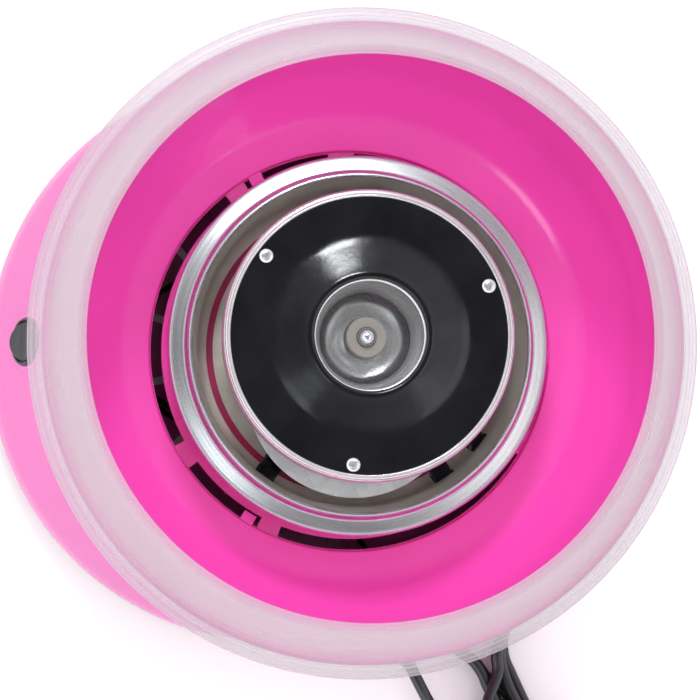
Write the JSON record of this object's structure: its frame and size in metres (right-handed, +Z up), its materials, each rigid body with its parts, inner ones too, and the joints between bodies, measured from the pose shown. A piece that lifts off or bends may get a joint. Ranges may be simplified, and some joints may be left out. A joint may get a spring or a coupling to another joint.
{
  "type": "cotton candy machine",
  "caption": "Countertop cotton candy machine: tapered base with rocker switch, lift-off bowl, frosted rim guard, polished collar, spinning sugar head and a folded power cord.",
  "frame": {"origin": "centre of the machine's box at table level, without its cord; the bowl's axis is vertical, 11 mm behind it", "axes": "+Z up along the spin axis, -Y to the front with the switch, +X to the side that the cord leaves from"},
  "size_m": [0.3918, 0.32, 0.254],
  "materials": {
    "pink_shell": "gloss",
    "pink_deck": "gloss",
    "frosted_guard": "frosted",
    "black_plastic": "gloss",
    "black_enamel": "gloss",
    "rubber_feet": "matt",
    "cord_rubber": "satin",
    "polished_steel": "polished",
    "cup_steel": "brushed",
    "zinc_steel": "galvanised",
    "spun_aluminium": "turned",
    "screw_steel": "plated",
    "ceramic": "matt",
    "heater_sheath": "oxidised",
    "laminated_steel": "matt",
    "copper_winding": "lacquered",
    "bronze": "sintered",
    "fan_plastic": "matt",
    "brass_contact": "bright",
    "gasket_red": "matt",
    "hub_fibre": "matt"
  },
  "bodies": {
    "root": {"base_housing": "pink_shell", "base_deck": "pink_deck", "base_plate": "pink_deck", "suction_feet": "rubber_feet", "base_screws": "screw_steel", "collar_ring": "polished_steel", "heater_cup": "cup_steel", "cup_spacers": "ceramic", "cup_screws": "screw_steel", "heater_element": "heater_sheath", "heater_reflector": "zinc_steel", "heater_shield": "zinc_steel", "cup_gasket": "gasket_red", "cup_brackets": "black_enamel", "heater_posts": "ceramic", "heater_brackets": "black_enamel", "heater_leads": "screw_steel", "lead_bushings": "ceramic", "thermal_fuse": "ceramic", "motor_stator": "laminated_steel", "motor_coil": "copper_winding", "motor_bracket_top": "zinc_steel", "motor_bracket_bottom": "zinc_steel", "motor_bearings": "bronze", "motor_bolts": "screw_steel", "motor_grommets": "rubber_feet", "motor_screws": "screw_steel", "switch_bezel": "black_plastic", "switch_body": "black_plastic", "switch_terminals": "brass_contact", "wiring": "cord_rubber", "cord_clamp": "black_plastic", "strain_relief": "cord_rubber", "power_cord": "cord_rubber", "cord_hank": "cord_rubber", "cord_end": "cord_rubber", "plug_body": "cord_rubber", "plug_blades": "brass_contact"},
    "spindle": {"motor_rotor": "laminated_steel", "motor_shaft": "screw_steel", "shaft_collars": "screw_steel", "cooling_fan": "fan_plastic", "spindle_sleeve": "polished_steel", "drive_pin": "screw_steel"},
    "head": {"head_top_plate": "black_enamel", "head_rim_band": "spun_aluminium", "head_screen": "spun_aluminium", "head_funnel": "spun_aluminium", "head_bottom_plate": "spun_aluminium", "head_hub": "hub_fibre", "head_washer": "hub_fibre", "head_rivets": "spun_aluminium"},
    "bowl": {"bowl": "pink_shell"},
    "guard": {"rim_guard": "frosted_guard"},
    "rocker": {"rocker": "black_plastic"}
  },
  "joints": [
    {"name": "head_spin", "type": "hinge", "parent": "root", "child": "spindle", "pos_m": [-0.0024, 0.0122, 0.1], "axis": [0, 0, 1], "continuous": true},
    {"name": "head_lift", "type": "slide", "parent": "spindle", "child": "head", "axis": [0, 0, 1], "range_m": [0, 0.06]},
    {"name": "bowl_lift", "type": "slide", "parent": "root", "child": "bowl", "axis": [0, 0, 1], "range_m": [0, 0.12]},
    {"name": "guard_lift", "type": "slide", "parent": "bowl", "child": "guard", "axis": [0, 0, 1], "range_m": [0, 0.05]},
    {"name": "switch_rock", "type": "hinge", "parent": "root", "child": "rocker", "pos_m": [0, -0.14051, 0.05531], "axis": [1, 0, 0], "range_deg": [0, 14]}
  ]
}
